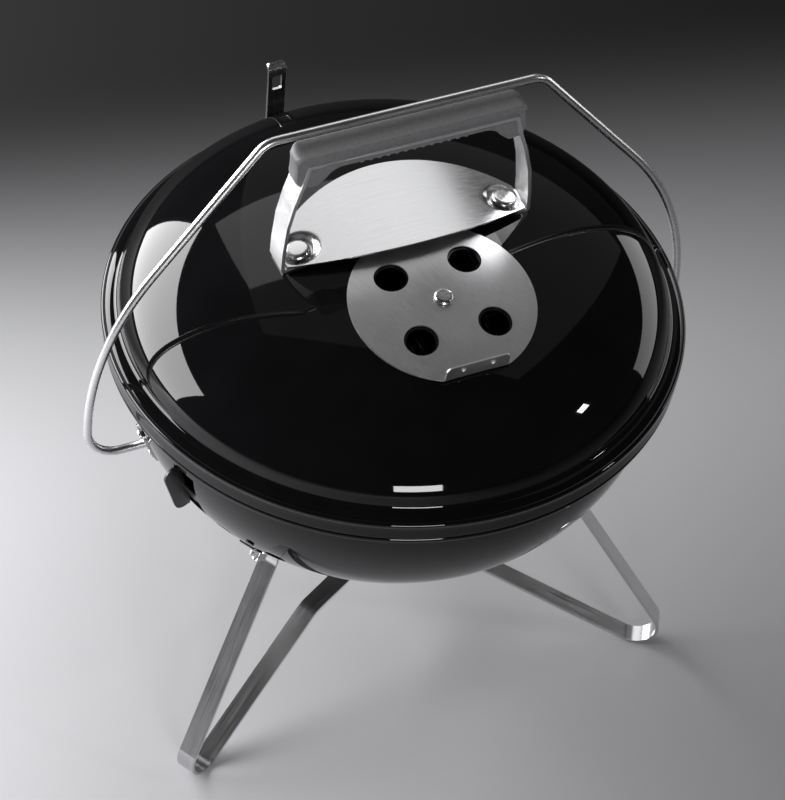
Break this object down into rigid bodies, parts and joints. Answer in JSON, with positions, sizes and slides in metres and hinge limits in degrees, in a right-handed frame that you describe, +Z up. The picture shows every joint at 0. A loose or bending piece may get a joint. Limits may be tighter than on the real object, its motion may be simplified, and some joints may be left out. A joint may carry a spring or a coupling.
{
  "type": "kettle charcoal grill",
  "caption": "Small round kettle charcoal grill: enamelled bowl and domed lid, strap legs, wire carrying bail, turning lid vent, sliding bowl vents and lift-out grates.",
  "frame": {"origin": "on the floor, on the bowl's upright axis, between the feet", "axes": "+Z up along the bowl's axis; +X to the right, along the bail's pivots; -Y to the front, the side of the lid's vent"},
  "size_m": [0.4084, 0.379, 0.4452],
  "materials": {
    "bowl_enamel": "black vitreous enamel, high gloss",
    "lid_enamel": "black vitreous enamel, high gloss",
    "leg_steel": "plated steel strap, satin",
    "fastener_steel": "zinc plated, bright",
    "post_steel": "plated steel strap, satin",
    "plate_steel": "plated steel, satin",
    "bail_wire": "bright plated wire",
    "bracket_steel": "plated steel strap, satin",
    "grip_nylon": "glass filled nylon, fine grain",
    "shield_steel": "bright rolled steel",
    "damper_aluminium": "brushed aluminium",
    "vent_aluminium": "brushed aluminium",
    "rivet_enamel": "black vitreous enamel, as the bowl",
    "rest_steel": "black vitreous enamel",
    "grate_wire": "plated steel rod",
    "coal_grate_steel": "plain steel rod"
  },
  "bodies": {
    "base": {"bowl": "bowl_enamel", "leg_left": "leg_steel", "leg_right": "leg_steel", "leg_rear": "leg_steel", "leg_bolts": "fastener_steel", "leg_washers": "fastener_steel", "leg_nuts": "fastener_steel", "leg_hub": "leg_steel", "hub_rivets": "fastener_steel", "rear_post": "post_steel", "post_rivets": "fastener_steel", "bail_plate_left": "plate_steel", "bail_plate_right": "plate_steel", "plate_rivets": "fastener_steel", "vent_rivets": "rivet_enamel", "grate_rests": "rest_steel"},
    "lid_body": {"lid": "lid_enamel", "handle_bracket": "bracket_steel", "handle_grip": "grip_nylon", "heat_shield": "shield_steel", "handle_rivets": "fastener_steel", "lid_damper_rivet": "fastener_steel"},
    "bail_body": {"bail": "bail_wire"},
    "damper_body": {"lid_damper": "damper_aluminium"},
    "vent_left_body": {"vent_slide_left": "vent_aluminium"},
    "vent_right_body": {"vent_slide_right": "vent_aluminium"},
    "cooking_grate_body": {"cooking_grate": "grate_wire"},
    "charcoal_grate_body": {"charcoal_grate": "coal_grate_steel"}
  },
  "joints": [
    {"name": "bail_swing", "type": "hinge", "parent": "base", "child": "bail_body", "pos_m": [0, 0, 0.2186], "axis": [-1, 0, 0], "range_deg": [0, 105]},
    {"name": "lid_lift", "type": "slide", "parent": "base", "child": "lid_body", "axis": [0, 0, 1], "range_m": [0, 0.065]},
    {"name": "lid_damper_turn", "type": "hinge", "parent": "lid_body", "child": "damper_body", "pos_m": [0, -0.064, 0.35121], "axis": [0, -0.1599, 0.9871], "range_deg": [0, 45]},
    {"name": "vent_left_slide", "type": "hinge", "parent": "base", "child": "vent_left_body", "pos_m": [0, 0, 0.232], "axis": [0, 0, 1], "range_deg": [0, 5]},
    {"name": "vent_right_slide", "type": "hinge", "parent": "base", "child": "vent_right_body", "pos_m": [0, 0, 0.232], "axis": [0, 0, 1], "range_deg": [0, 5]},
    {"name": "cooking_grate_lift", "type": "slide", "parent": "base", "child": "cooking_grate_body", "axis": [0, 0, 1], "range_m": [0, 0.02]},
    {"name": "charcoal_grate_lift", "type": "slide", "parent": "base", "child": "charcoal_grate_body", "axis": [0, 0, 1], "range_m": [0, 0.04]}
  ],
  "couplings": [
    {"joint": "lid_lift", "follows": "bail_swing", "m_per_rad": 0.0344}
  ]
}
